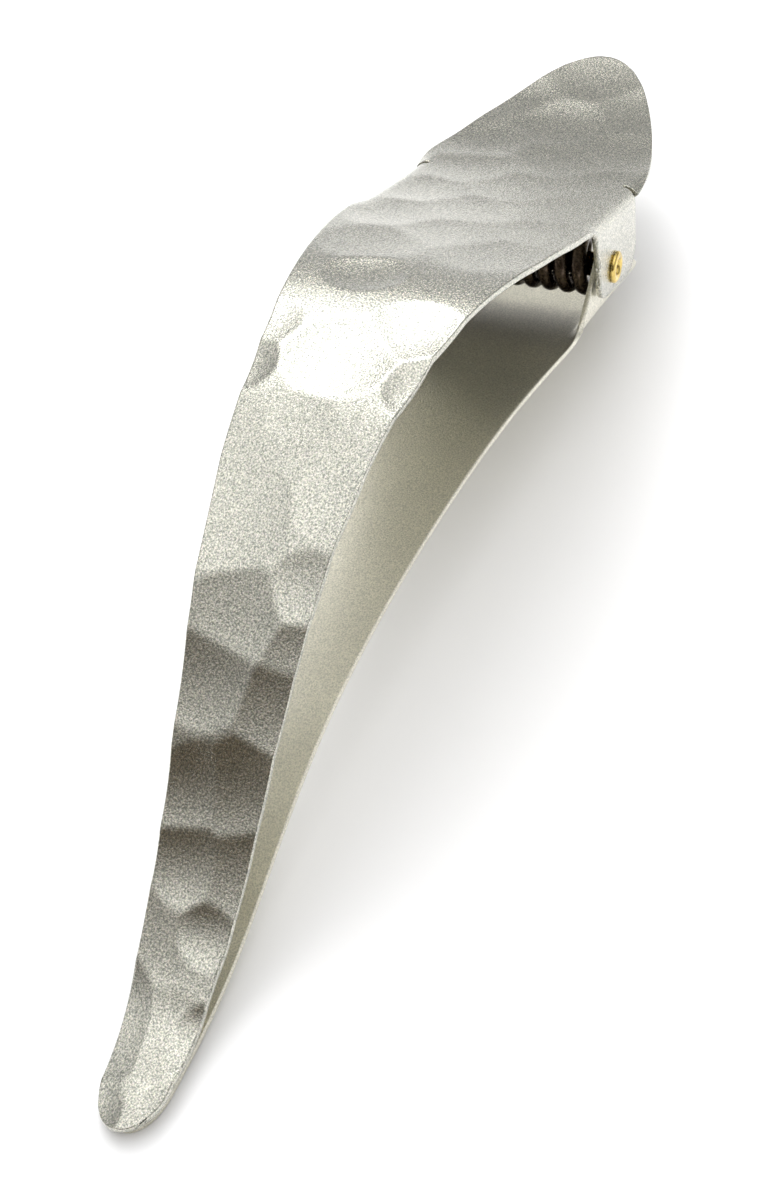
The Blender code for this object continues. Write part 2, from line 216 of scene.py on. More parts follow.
def select_only(piece, faces=(), edges=()):
    """Leave exactly these faces and edges selected, ready for edit mode."""
    mesh = piece.data
    for part in (mesh.vertices, mesh.edges, mesh.polygons):
        part.foreach_set("select", np.zeros(len(part), bool))
    for element in [mesh.polygons[i] for i in faces] + [mesh.edges[i] for i in edges]:
        element.select = True
        for vert in element.vertices:
            mesh.vertices[vert].select = True


def in_edit_mode(mode, *operations):
    """Run operators in edit mode, in vertex, edge or face selection."""
    bpy.ops.object.mode_set(mode='EDIT')
    bpy.ops.mesh.select_mode(type=mode)
    for operation, settings in operations:
        operation(**settings)
    bpy.ops.object.mode_set(mode='OBJECT')


def apply_modifier(piece, name, kind, **settings):
    """Add a modifier with these settings and apply it."""
    only(piece)
    modifier = piece.modifiers.new(name, kind)
    for key, value in settings.items():
        setattr(modifier, key, value)
    bpy.ops.object.modifier_apply(modifier=name)


# %% [markdown]
# ## The hammer marks
# A smith's domed hammer leaves a shallow round dish at each blow. Where dishes meet, the lowest one
# wins, and the line between two dishes is a crisp ridge. So the surface is the lowest of many
# shallow bowls. Each blow has a place along the clip and across it, a depth, and the radius of its
# bowl. A bump texture would leave the cut edges and the outline straight, so the marks are geometry.
# The blows behind the crest are made fainter and wider than their rows say, by one common share.
# The front rows were settled by a separate fitting program and then rounded, so their decimals have no
# meaning of their own. The rear rows were placed one by one.
# %% Blows and the surface they leave
# Each row: along the sheet from the hinge, across it, depth and bowl radius, all in millimetres
FRONT_BLOWS = (
    (25.3, -2.5, 0.26, 18.0), (36.9, 0.0, 0.38, 23.2), (32.9, 4.3, 0.31, 19.1), (39.1, 7.6, 0.52, 10.0),
    (34.4, -7.2, 0.14, 18.2), (39.2, -7.8, 0.38, 12.8), (43.6, -0.7, 0.03, 27.1), (52.1, -3.1, 0.24, 31.3),
    (49.9, 3.8, 0.19, 15.4), (56.6, 3.8, 0.21, 14.3), (59.4, -1.0, 0.20, 25.6), (61.6, 4.6, 0.18, 18.5),
    (64.1, -2.3, 0.23, 24.5), (65.5, 4.7, 0.31, 24.7), (72.4, -1.2, 0.28, 18.3), (72.1, 2.7, 0.37, 24.4),
    (77.3, -0.4, 0.28, 17.5), (77.1, 4.5, 0.42, 28.9), (81.7, 2.2, 0.28, 11.4), (90.4, -6.5, 0.76, 24.6),
    (89.7, 0.7, 0.10, 27.7), (89.8, 3.5, 0.41, 9.9), (94.0, 1.6, 0.04, 8.9), (96.3, -3.2, 0.56, 8.5))
REAR_BLOWS = (
    (17.5, 5.2, 0.24, 27.0), (18.6, -4.6, 0.22, 26.0), (13.0, 0.6, 0.24, 30.0), (9.6, 7.4, 0.20, 26.0),
    (9.0, -6.6, 0.22, 26.0), (5.0, -0.6, 0.22, 30.0), (2.2, 5.4, 0.18, 28.0), (0.4, -6.8, 0.20, 26.0),
    (-3.6, 0.8, 0.20, 30.0), (-7.0, 7.2, 0.16, 28.0), (-8.0, -5.4, 0.20, 28.0), (-12.4, 1.8, 0.18, 32.0),
    (-15.6, -6.6, 0.16, 30.0), (-16.8, 7.6, 0.16, 30.0), (-21.8, -0.6, 0.22, 30.0), (-26.4, 6.6, 0.16, 28.0),
    (-27.0, -7.4, 0.16, 28.0), (-31.8, 0.6, 0.20, 26.0))
FRONT_RIDGE, REAR_RIDGE = 0.03, 0.05    # softness of the ridges between dishes, mm
REAR_STRENGTH = 0.45
HIGHEST = 0.10                          # sheet between dishes may stand this proud of the plain sheet, mm
CREST_AT, CREST_LENGTH, CREST_FLATTENED = 34.0, 7.0, 0.12       # the crest sits this much lower, mm
BLOWS = [(*blow, FRONT_RIDGE) for blow in FRONT_BLOWS]
for along, across, depth, radius in REAR_BLOWS:
    BLOWS.append((along, across, REAR_STRENGTH * depth, radius / REAR_STRENGTH, REAR_RIDGE))


def path_along(line, start, stop):
    """Places along a jaw and how far each is from the hinge, measured along the bent sheet."""
    xs = np.linspace(start, stop, 1500)
    slope = line(xs)[1]
    steps = np.hypot(1.0, 0.5 * (slope[1:] + slope[:-1])) * np.diff(xs)
    total = np.concatenate([[0.0], np.cumsum(steps)])
    return xs, total - np.interp(0.0, xs, total)


upper_path = path_along(upper_line, -UPPER_TAIL, UPPER_REACH)


def hammered(x, y):
    """Height of the hammered surface over the plain sheet, x ahead of the hinge and y across."""
    along, across = np.interp(x, *upper_path) / MM, y / MM
    lowest = np.full(along.shape, HIGHEST)
    for place, offset, depth, radius, softness in BLOWS:
        bowl = ((along - place) ** 2 + (across - offset) ** 2) / (2.0 * radius) - depth
        share = np.clip(0.5 + 0.5 * (bowl - lowest) / softness, 0.0, 1.0)
        lowest = bowl + (lowest - bowl) * share - softness * share * (1.0 - share)
    crest = CREST_FLATTENED * np.exp(-((along - CREST_AT) / CREST_LENGTH) ** 2)
    return (lowest - crest) * MM


relief_in_middle = np.ptp(hammered(np.linspace(0.0, 80.0 * MM, 200), np.zeros(200)))
print("hammer marks:", len(BLOWS), "blows,", round(float(relief_in_middle) / MM, 2), "mm of relief")

# %% [markdown]
# ## A jaw as one folded sheet
# A jaw is cut flat and then bent, with an ear folded down (or up) on each side to take the rivet. The
# mesh is made the same way. A grid primitive is the flat blank. Its points are carried onto the bent
# line and wrapped round the fold, the slot behind each ear is cut out, and the ear is extruded row by
# row from the folded edge. Solidify gives the sheet its thickness, and a small bevel rolls over the
# cut edges, which catch the light on real sheet. The ears' holes are only in the CAD parts: here the
# rivet passes through closed sheet, and its collars cover the place.
# %% Outlines of the ears and of the rounded ends
BEND = 0.8 * MM                 # inside radius of the ear folds
SLOT = 0.5 * MM                 # length of the slot behind each ear


def corner_ear(front, rear, depth, corner, count):
    """Free edge of an ear with two rounded corners, front to rear, as (along, past the axis)."""
    quarter = np.linspace(0.0, 0.5 * math.pi, 20)
    across_corner, down_corner = corner * np.cos(quarter), corner * np.sin(quarter)
    ahead = np.concatenate([front - corner + across_corner, -rear + corner - down_corner])
    past = np.concatenate([depth - corner + down_corner, depth - corner + across_corner])
    return even_steps(ahead, past, count)


def round_ear(front, rear, root, radius, count):
    """Free edge of an ear that closes round the hinge axis, front to rear."""
    start = math.atan2(-root, front) + math.acos(radius / math.hypot(front, root))
    end = math.atan2(-root, -rear) + 2.0 * math.pi - math.acos(radius / math.hypot(rear, root))
    turn = np.linspace(start, end, count)
    return radius * np.cos(turn), radius * np.sin(turn)


def even_steps(xs, ys, count):
    """The same outline with evenly spaced points."""
    gone = np.concatenate([[0.0], np.cumsum(np.hypot(np.diff(xs), np.diff(ys)))])
    at = np.linspace(0.0, gone[-1], count)
    return np.interp(at, gone, xs), np.interp(at, gone, ys)


def into_round(share, part):
    """Carries a rectangle into a half disc. Share is the place across and part the place along, -1 to 1."""
    along = part * np.sqrt(1.0 - 0.5 * share ** 2)
    across = share * np.sqrt(1.0 - 0.5 * part ** 2)
    return across / np.sqrt(np.maximum(1.0 - along ** 2, 1e-12)), along


def smooth_step(value):
    """Rises from 0 to 1 with no kink at either end."""
    value = np.clip(value, 0.0, 1.0)
    return value * value * (3.0 - 2.0 * value)


# %% [markdown]
# The blank's rows run across the jaw and its columns run along it. Where the jaw ends in a round, the
# rectangle of faces is carried into a half disc, so that no row shrinks to a point and the faces stay
# even up to the edge. In front of the ears the fold opens out over a short length, as a real one does.
# %% The flat blank, bent and folded
EDGE_RUN_OUT = 0.9 * MM         # over which the blade's own edge takes over from the fold
FOLD_OPENS = 4.0 * MM           # length in front of an ear over which its fold flattens
COLUMNS_FREE = 6.0 * MM         # length over which the columns fan back to even spacing
MARK_MARGIN, MARK_FADE = 0.8 * MM, 2.5 * MM     # how the hammer marks fade out before a fold
TOUCH = 1e-7                    # allowance when places are compared, m


def bent_blank(name, line, widths, ends, ear, sheet, columns, spacing, relief):
    """Grid carried onto the bent line of a jaw, and what the ears need to know about it."""
    front_width, rear_width = widths
    tail, tail_round, tip_round, tip = ends
    inside, strip = columns
    radius = BEND + sheet / 2.0
    fold = ear["outside"] - sheet / 2.0
    inner, quarter_turn = fold - radius, radius * math.pi / 2.0
    front, rear = ear["front"], -ear["rear"]
    xs, path = path_along(line, tail, tip)

    def run(a, b):
        start, stop = np.interp([a, b], xs, path)
        places = np.interp(np.linspace(start, stop, max(2, round((stop - start) / spacing)) + 1), path, xs)
        return [a, *places[1:-1], b]

    middle = run(tail_round, rear - SLOT) + run(rear, front) + run(front, tip_round)[1:]
    tail_rows, tip_rows = (max(6, round(length / spacing)) for length in (tail_round - tail, tip - tip_round))
    count = len(middle) + tail_rows + tip_rows
    base = np.array([tail_round] * tail_rows + middle + [tip_round] * tip_rows)
    part = np.concatenate([np.linspace(-1.0, 0.0, tail_rows + 1)[:-1], np.zeros(len(middle)),
                           np.linspace(0.0, 1.0, tip_rows + 1)[1:]])

    select_none()
    bpy.ops.mesh.primitive_grid_add(x_subdivisions=count - 1, y_subdivisions=2 * (inside + strip), size=1.0)
    piece = bpy.context.active_object
    piece.name = piece.data.name = name
    flat_grid = coordinates(piece)
    row = np.rint((flat_grid[:, 0] + 0.5) * (count - 1)).astype(int)
    column = np.rint(flat_grid[:, 1] * 2.0 * (inside + strip)).astype(int)
    share = column / (inside + strip)
    x, part = base[row], part[row]
    share, into = into_round(share, part)
    x = x + np.where(part > 0.0, into * (tip - tip_round), into * (tail_round - tail))
    plain = np.clip(x, tail_round, tip_round)

    width = np.where(x > 0.0, front_width(np.clip(x, 0.0, tip)), rear_width(np.clip(x, tail, 0.0)))
    in_ear = (plain > rear - TOUCH) & (plain < front + TOUCH)
    run_out = np.where(plain > front, smooth_step((plain - front) / EDGE_RUN_OUT), 1.0)
    width = np.where(in_ear, inner + quarter_turn, width + (inner + quarter_turn - width) * (1.0 - run_out))
    pinned = np.where(plain >= rear - TOUCH, 1.0 - smooth_step((plain - front - FOLD_OPENS) / COLUMNS_FREE),
                      relief * (1.0 - smooth_step((rear - plain) / COLUMNS_FREE)))
    size, split = np.abs(share), inside / (inside + strip)
    folded = np.where(size <= split, size / split * inner,
                      inner + (size - split) / (1.0 - split) * (width - inner))
    across = pinned * folded + (1.0 - pinned) * size * width

    ahead = np.clip((plain - front) / FOLD_OPENS, 0.0, 1.0)
    behind = np.clip((rear - plain) / COLUMNS_FREE, 0.0, 1.0)
    opened = np.where(plain < rear, np.where(relief > 0.0, behind, 1.0), ahead)
    flatter = np.maximum(1.0 - opened, 0.001) ** 2
    bend = radius / np.where(in_ear, 1.0, flatter)
    past = np.maximum(across - inner, 0.0)
    y = np.minimum(across, inner) + bend * np.sin(past / bend)
    drop = bend * (1.0 - np.cos(past / bend))
    height, slope = line(x)
    steep = np.hypot(1.0, slope)
    lift = ear["side"] * drop
    if ear["marks"] is not None:
        near_fold = (plain > rear - TOUCH) & (plain < front + FOLD_OPENS)
        faded = smooth_step((inner + MARK_MARGIN - across) / MARK_FADE)
        lift = lift + ear["marks"](x, across * np.sign(share)) * np.where(near_fold, faded, 1.0)
    place = np.stack([x + PIN_X - lift * slope / steep, y * np.sign(share), height + PIN_Z + lift / steep], 1)
    set_coordinates(piece, place)
    first = tail_rows + middle.index(rear)
    last = tail_rows + middle.index(front)
    print(name, "blank:", count, "rows,", 2 * (inside + strip), "columns")
    return piece, row, column, (first, last), fold


# %% [markdown]
# The slot is one row of the blank's faces, deleted on each side. The ear is drawn out of the folded
# edge a row at a time, and each row is moved its share of the way to the ear's free edge. Points that
# coincide are merged before the sheet gets its thickness, so that the normals agree all over.
# %% Slots and ears
SAME_POINT = 0.001 * MM         # points closer than this are one
ROLLED_EDGE = 0.09 * MM         # width of the rounding along the cut edges


def folded_jaw(name, line, widths, ends, ear, sheet, columns, spacing, relief=1.0):
    """A jaw with a slot behind each ear, two extruded ears, its thickness and rolled edges."""
    piece, row, column, (first, last), fold = bent_blank(
        name, line, widths, ends, ear, sheet, columns, spacing, relief)
    inside, strip = columns
    behind_ear = {first - 1, first}
    slot = [f.index for f in piece.data.polygons if {row[v] for v in f.vertices} == behind_ear
            and min(abs(column[v]) for v in f.vertices) >= inside]
    select_only(piece, faces=slot)
    only(piece)
    in_edit_mode('FACE', (bpy.ops.mesh.delete, {"type": 'FACE'}))

    slope = float(line(0.0)[1][0])
    ahead = np.array([1.0, slope]) / math.hypot(1.0, slope)
    upright = np.array([-ahead[1], ahead[0]])
    along, beyond = ear["edge"](last - first + 1)
    free = along[:, None] * ahead + ear["side"] * beyond[:, None] * upright + np.array([PIN_X, PIN_Z])
    outer = inside + strip
    for hand in (-1, 1):
        on_fold = (column == hand * outer) & (row >= first) & (row <= last)
        chosen = [e.index for e in piece.data.edges if all(v < len(row) and on_fold[v] for v in e.vertices)]
        select_only(piece, edges=chosen)
        fold_points = coordinates(piece)[:len(row)][on_fold]
        fold_points = fold_points[np.argsort(-fold_points @ np.array([ahead[0], 0.0, ahead[1]]))]
        for k in range(1, ear["rows"] + 1):
            before = len(piece.data.vertices)
            in_edit_mode('EDGE', (bpy.ops.mesh.extrude_edges_move, {}))
            points = coordinates(piece)
            fresh = np.arange(before, len(points))
            fresh = fresh[np.argsort(-points[fresh] @ np.array([ahead[0], 0.0, ahead[1]]))]
            points[fresh, 0] = fold_points[:, 0] + k / ear["rows"] * (free[:, 0] - fold_points[:, 0])
            points[fresh, 1] = hand * fold
            points[fresh, 2] = fold_points[:, 2] + k / ear["rows"] * (free[:, 1] - fold_points[:, 2])
            set_coordinates(piece, points)

    select_only(piece)
    in_edit_mode('VERT', (bpy.ops.mesh.select_all, {"action": 'SELECT'}),
                 (bpy.ops.mesh.remove_doubles, {"threshold": 2.0 * SAME_POINT}),
                 (bpy.ops.mesh.normals_make_consistent, {"inside": False}))
    if sum(f.normal.z * f.area for f in piece.data.polygons) < 0.0:
        in_edit_mode('FACE', (bpy.ops.mesh.select_all, {"action": 'SELECT'}), (bpy.ops.mesh.flip_normals, {}))
    apply_modifier(piece, "Thickness", 'SOLIDIFY', thickness=sheet, offset=0.0, use_even_offset=True)
    apply_modifier(piece, "Rolled edge", 'BEVEL', width=ROLLED_EDGE, segments=2, limit_method='ANGLE',
                   angle_limit=math.radians(55.0), use_clamp_overlap=False)
    in_edit_mode('VERT', (bpy.ops.mesh.select_all, {"action": 'SELECT'}),
                 (bpy.ops.mesh.remove_doubles, {"threshold": SAME_POINT}))
    piece.data.shade_smooth()
    print(name, "has", sum(len(f.vertices) - 2 for f in piece.data.polygons), "triangles")
    return piece


# %% [markdown]
# ## The upper jaw
# The show piece: a long blade that bows up to a crest and runs down to a round tip, with a broad thumb
# tab behind. Only this jaw is hammered. Its mesh ends a hair short of the CAD solid's rear end, so that
# a dish near the end can't stand outside the CAD box.
# %% Upper jaw
UPPER_EAR_DEPTH, UPPER_EAR_CORNER = 2.3 * MM, 2.4 * MM
THUMB_ROUND = 8.0 * MM
END_ROOM = 0.03 * MM
upper_ear = {"outside": HALF_WIDTH, "front": UPPER_EAR_FRONT, "rear": UPPER_EAR_REAR, "side": -1.0,
             "rows": 7, "marks": hammered,
             "edge": lambda count: corner_ear(UPPER_EAR_FRONT, UPPER_EAR_REAR, UPPER_EAR_DEPTH,
                                              UPPER_EAR_CORNER, count)}
upper = folded_jaw(
    "hammered_upper_jaw", upper_line,
    (lambda x: blade_half_width(x, UPPER_REACH, HALF_WIDTH, UPPER_TIP), upper_tail_half_width),
    (END_ROOM - UPPER_TAIL, THUMB_ROUND - UPPER_TAIL, UPPER_REACH - TIP_ROUND, UPPER_REACH),
    upper_ear, UPPER_SHEET, (30, 6), 0.30 * MM)

# %% [markdown]
# ## The lower jaw
# The same kind of sheet, left plain, a little narrower so that its ears stand inside the upper ones.
# It lies on the table at its tip and at its short finger tab.
# %% Lower jaw
LOWER_EAR_TOP = 2.6 * MM        # radius of the ear round the hinge axis
lower_outside = HALF_WIDTH - UPPER_SHEET - EAR_GAP
lower_ear = {"outside": lower_outside, "front": LOWER_EAR_FRONT, "rear": LOWER_EAR_REAR, "side": 1.0,
             "rows": 8, "marks": None,
             "edge": lambda count: round_ear(LOWER_EAR_FRONT, LOWER_EAR_REAR, LOWER_OFF_AXIS,
                                             LOWER_EAR_TOP, count)}
lower = folded_jaw(
    "plain_lower_jaw", lower_line,
    (lambda x: blade_half_width(x, LOWER_REACH, lower_outside, LOWER_TIP), lower_tail_half_width),
    (-LOWER_TAIL, -LOWER_TAIL + FINGER_ROUND, LOWER_REACH - TIP_ROUND, LOWER_REACH),
    lower_ear, LOWER_SHEET, (18, 5), 0.5 * MM, relief=0.0)

# %% [markdown]
# ## The rivet
# A short brass tube whose ends are rolled over into a small domed collar with a hole in the middle. A
# cylinder primitive laid along Y is the tube. Each end face is extruded, and the new ring is opened or
# closed and moved out or in, once for each step of the profile. The bore ends blind just inside.
# %% Hinge rivet
RIVET_RADIUS = 1.1 * MM
TUBE_END = HALF_WIDTH + 0.04 * MM
select_none()
bpy.ops.mesh.primitive_cylinder_add(vertices=72, radius=RIVET_RADIUS, depth=2.0 * TUBE_END,
                                    end_fill_type='NGON', location=(PIN_X, 0.0, PIN_Z),
                                    rotation=(math.pi / 2.0, 0.0, 0.0))
rivet = bpy.context.active_object
rivet.name = rivet.data.name = "rolled_hinge_rivet"
bpy.ops.object.transform_apply(location=True, rotation=True, scale=True)
# Radius of each ring and how far it stands out past the end of the tube, in millimetres
COLLAR = ((1.45, 0.00), (1.47, 0.14), (1.42, 0.27), (1.30, 0.36), (1.15, 0.40), (1.00, 0.40), (0.86, 0.37),
          (0.74, 0.30), (0.66, 0.18), (0.62, 0.00), (0.60, -0.30), (0.60, -0.90))


def end_caps(hand):
    """The many-sided face that closes one end of the tube."""
    return [f for f in rivet.data.polygons if len(f.vertices) > 8 and f.normal.y * hand > 0.9]


for hand in (-1, 1):
    for wide, out in COLLAR:
        select_only(rivet, faces=[f.index for f in end_caps(hand)])
        in_edit_mode('FACE', (bpy.ops.mesh.extrude_region_move, {}))
        points = coordinates(rivet)
        moved = np.array(sorted({v for f in end_caps(hand) if f.select for v in f.vertices}))
        angle = np.arctan2(points[moved, 2] - PIN_Z, points[moved, 0] - PIN_X)
        points[moved, 0] = PIN_X + wide * MM * np.cos(angle)
        points[moved, 2] = PIN_Z + wide * MM * np.sin(angle)
        points[moved, 1] = hand * (TUBE_END + out * MM)
        set_coordinates(rivet, points)
rivet.data.shade_smooth()
print("rivet spans, mm:", round(float(np.ptp(coordinates(rivet)[:, 1])) / MM, 2))

# %% [markdown]
# ## The spring
# About ten and a half turns of wire round the rivet, with one leg under each tab. The wire's near-black
# colour is painted shade, for the dark it reflects under the upper jaw. A wire that follows a rule is a
# curve: its points are worked out turn by turn, a round bevel gives it its thickness, and it is then made
# a mesh so that it can bend with the jaws.
# %% Coil spring
WIRE = 0.7 * MM                 # radius of the wire
COIL = RIVET_RADIUS + 0.4 * MM + WIRE           # radius of the coil, to the middle of the wire
WIRE_GAP = 0.3 * MM             # between the wire and the sheets beside it
UPPER_LEG, LOWER_LEG = 16.0 * MM, 9.4 * MM      # how far behind the hinge the legs end
FULL_TURNS, TURN_POINTS = 10, 40


def leg_end(line, x, side, sheet):
    """End of a spring leg, a wire's radius off one jaw."""
    height, slope = (float(v[0]) for v in line(x))
    off = side * (sheet / 2.0 + WIRE_GAP + WIRE)
    steep = math.hypot(1.0, slope)
    return x - slope / steep * off, height + off / steep


def leaves_coil(point, side):
    """Angle at which a straight leg leaves the coil."""
    return math.atan2(point[1], point[0]) + side * math.acos(COIL / math.hypot(*point))


upper_leg = leg_end(upper_line, -UPPER_LEG, -1.0, UPPER_SHEET)
lower_leg = leg_end(lower_line, -LOWER_LEG, 1.0, LOWER_SHEET)
start, stop = leaves_coil(lower_leg, 1.0), leaves_coil(upper_leg, -1.0)
while start > -0.25 * math.pi:
    start -= 2.0 * math.pi
while stop < start:
    stop += 2.0 * math.pi
stop += 2.0 * math.pi * FULL_TURNS
reach_y = lower_outside - LOWER_SHEET - WIRE_GAP - WIRE
steps = round((stop - start) / (2.0 * math.pi) * TURN_POINTS)
route = [(lower_leg[0], reach_y, lower_leg[1])]
for i in range(steps + 1):
    angle = start + (stop - start) * i / steps
    route.append((COIL * math.cos(angle), reach_y * (1.0 - 2.0 * i / steps), COIL * math.sin(angle)))
route.append((upper_leg[0], -reach_y, upper_leg[1]))
wire = bpy.data.curves.new("shade_painted_coil_spring", 'CURVE')
wire.dimensions = '3D'
wire.bevel_depth = WIRE
wire.bevel_resolution = 4
wire.use_fill_caps = True
strand = wire.splines.new('POLY')
strand.points.add(len(route) - 1)
for point, (ahead, across, up) in zip(strand.points, route):
    point.co = (ahead + PIN_X, across, up + PIN_Z, 1.0)
spring = bpy.data.objects.new("shade_painted_coil_spring", wire)
bpy.context.scene.collection.objects.link(spring)
only(spring)
bpy.ops.object.convert(target='MESH')
spring = bpy.context.active_object
in_edit_mode('VERT', (bpy.ops.mesh.select_all, {"action": 'SELECT'}),
             (bpy.ops.mesh.remove_doubles, {"threshold": SAME_POINT}),
             (bpy.ops.mesh.normals_make_consistent, {"inside": False}))
spring.data.shade_smooth()
print("spring:", round((stop - start) / (2.0 * math.pi), 2), "turns,", len(spring.data.polygons), "faces")

# %% [markdown]
# ## Shared effects
# All the metal here has the same two small effects: a grain, whose colour has painted glints of sparkle
# and painted shade in its pits, and a slow change of tone. Each is a node group, built once and used in
# every material with its own numbers. Both are made of noise that reads the piece's own coordinates, so
# they stay fixed to the metal when it moves.
# %% Helpers for nodes


def node_group(name, inputs, outputs):
    """An empty group with named sockets, and its input and output nodes."""
    group = bpy.data.node_groups.new(name, 'ShaderNodeTree')
    for label, kind, value in inputs:
        socket = group.interface.new_socket(label, in_out='INPUT', socket_type=kind)
        if value is not None:
            socket.default_value = value
    for label, kind in outputs:
        group.interface.new_socket(label, in_out='OUTPUT', socket_type=kind)
    return group, group.nodes.new('NodeGroupInput'), group.nodes.new('NodeGroupOutput')


def add(tree, kind, settings=None, **inputs):
    """A node with its settings. Inputs are set or linked by name, or by number as i0, i1 and so on."""
    node = tree.nodes.new(kind)
    for key, value in (settings or {}).items():
        setattr(node, key, value)
    for key, value in inputs.items():
        numbered = key[0] == "i" and key[1:].isdigit()
        socket = node.inputs[int(key[1:]) if numbered else key.replace("_", " ")]
        if isinstance(value, bpy.types.NodeSocket):
            tree.links.new(value, socket)
        else:
            socket.default_value = value
    return node


def multiply(tree, first, second):
    """One colour times another, and the socket that gives it."""
    return add(tree, 'ShaderNodeMix', {"data_type": 'RGBA', "blend_type": 'MULTIPLY'},
               i0=1.0, i6=first, i7=second).outputs[2]


# %% Grain with painted glints and painted pit shade, and slow tone
grain, given, result = node_group(
    "blasted grain with painted glints",
    [("Vector", 'NodeSocketVector', None), ("Grains per metre", 'NodeSocketFloat', 5000.0),
     ("Colour spread", 'NodeSocketFloat', 0.1), ("Pit tone", 'NodeSocketFloat', 0.7)],
    [("Height", 'NodeSocketFloat'), ("Tint", 'NodeSocketColor'), ("Fleck", 'NodeSocketFloat')])
speck = add(grain, 'ShaderNodeTexNoise', Vector=given.outputs["Vector"],
            Scale=given.outputs["Grains per metre"], Detail=3.0, Roughness=0.65)
sharp = add(grain, 'ShaderNodeMapRange', Value=speck.outputs["Fac"], From_Min=0.36, From_Max=0.64)
# Painted light: where the noise is low, which the bump turns into pits, the colour is darkened as painted
# shade, and where it is high it is lightened up to 1.15 as painted glints of sparkle.
shade = add(grain, 'ShaderNodeMapRange', Value=sharp.outputs["Result"],
            To_Min=given.outputs["Pit tone"], To_Max=1.15)
hue = add(grain, 'ShaderNodeMix', {"data_type": 'RGBA'}, i0=given.outputs["Colour spread"],
          i6=(1.0, 1.0, 1.0, 1.0), i7=speck.outputs["Color"])
grain.links.new(speck.outputs["Fac"], result.inputs["Height"])
grain.links.new(multiply(grain, hue.outputs[2], shade.outputs["Result"]), result.inputs["Tint"])
grain.links.new(sharp.outputs["Result"], result.inputs["Fleck"])

tone, given, result = node_group(
    "slow tone", [("Vector", 'NodeSocketVector', None), ("Patches per metre", 'NodeSocketFloat', 200.0),
                  ("Low", 'NodeSocketFloat', 0.9), ("High", 'NodeSocketFloat', 1.05)],
    [("Shade", 'NodeSocketFloat')])
cloud = add(tone, 'ShaderNodeTexNoise', Vector=given.outputs["Vector"],
            Scale=given.outputs["Patches per metre"], Detail=3.0)
ranged = add(tone, 'ShaderNodeMapRange', Value=cloud.outputs["Fac"], From_Min=0.3, From_Max=0.7,
             To_Min=given.outputs["Low"], To_Max=given.outputs["High"])
tone.links.new(ranged.outputs["Result"], result.inputs["Shade"])
print("node groups:", [group.name for group in bpy.data.node_groups])

# %% [markdown]
# ## The finishes
# The jaws are pale, slightly warm metal with a frosted look: a soft reflection, broken up by a grain
# of about a seventh of a millimetre. Most of that grain is light and dark flecks painted into the colour,
# because strong relief would scatter the light so much that the hammer marks fade: the light flecks are
# painted glints of sparkle and the dark ones painted shade in the pits. The colours are lighter than the
# finished metal looks, since the painted dark pits take some of that light away again.
# %% Metal finishes
SWELLS_PER_METRE = 350.0        # wide, very low swells under the grain


def metal(name, colour, rough, grains, depth, patches, shades, pit=0.7, spread=0.1, flecks=0.08, swell=0.0):
    """Metal with grain in its relief and in its colour, whose light flecks are painted glints and dark pits
    painted shade, and a slow change of tone. Depths are in metres.
    """
    material = bpy.data.materials.new(name)
    material.use_nodes = True
    tree = material.node_tree
    surface = tree.nodes["Principled BSDF"]
    surface.inputs["Metallic"].default_value = 1.0
    where = add(tree, 'ShaderNodeTexCoord').outputs["Object"]
    fine = add(tree, 'ShaderNodeGroup', {"node_tree": grain}, Vector=where, Grains_per_metre=grains,
               Colour_spread=spread, Pit_tone=pit)
    slow = add(tree, 'ShaderNodeGroup', {"node_tree": tone}, Vector=where, Patches_per_metre=patches,
               Low=shades[0], High=shades[1])
    # The grain's tint brings its painted glints and its painted pit shade into the base colour.
    tinted = multiply(tree, (*colour, 1.0), fine.outputs["Tint"])
    tree.links.new(multiply(tree, tinted, slow.outputs["Shade"]), surface.inputs["Base Color"])
    matt = add(tree, 'ShaderNodeMapRange', Value=fine.outputs["Fleck"],
               To_Min=rough + flecks, To_Max=rough - flecks)
    tree.links.new(matt.outputs["Result"], surface.inputs["Roughness"])
    relief = add(tree, 'ShaderNodeBump', Height=fine.outputs["Height"], Distance=depth, Strength=1.0)
    if swell:
        wide = add(tree, 'ShaderNodeTexNoise', Vector=where, Scale=SWELLS_PER_METRE, Detail=0.0)
        under = add(tree, 'ShaderNodeBump', Height=wide.outputs["Fac"], Distance=swell, Strength=1.0)
        tree.links.new(under.outputs["Normal"], relief.inputs["Normal"])
    tree.links.new(relief.outputs["Normal"], surface.inputs["Normal"])
    return material


hammered_metal = metal("frosted hammered metal", (0.86, 0.855, 0.755), rough=0.12, grains=7000.0,
                       depth=0.00003, patches=160.0, shades=(0.95, 1.03), pit=0.38, spread=0.28,
                       flecks=0.05, swell=0.00002)
plain_metal = metal("frosted plain metal", (0.86, 0.835, 0.72), rough=0.36, grains=7500.0, depth=0.000025,
                    patches=120.0, shades=(0.94, 1.03), pit=0.75)
brass = metal("rivet brass", (0.88, 0.66, 0.22), rough=0.22, grains=2500.0, depth=0.00002,
              patches=900.0, shades=(0.7, 1.1), pit=0.85, spread=0.05)
# The wire's near-black brown colour is painted shade: it stands in for the dark that the coil reflects in the
# shade under the upper jaw.
shade_painted_wire = metal("wire painted dark as shade", (0.10, 0.075, 0.055), rough=0.25, grains=3500.0, depth=0.00002,
                  patches=500.0, shades=(0.6, 1.2))
for piece, finish in ((upper, hammered_metal), (lower, plain_metal), (rivet, brass), (spring, shade_painted_wire)):
    piece.data.materials.clear()
    piece.data.materials.append(finish)
print("materials:", [m.name for m in bpy.data.materials])

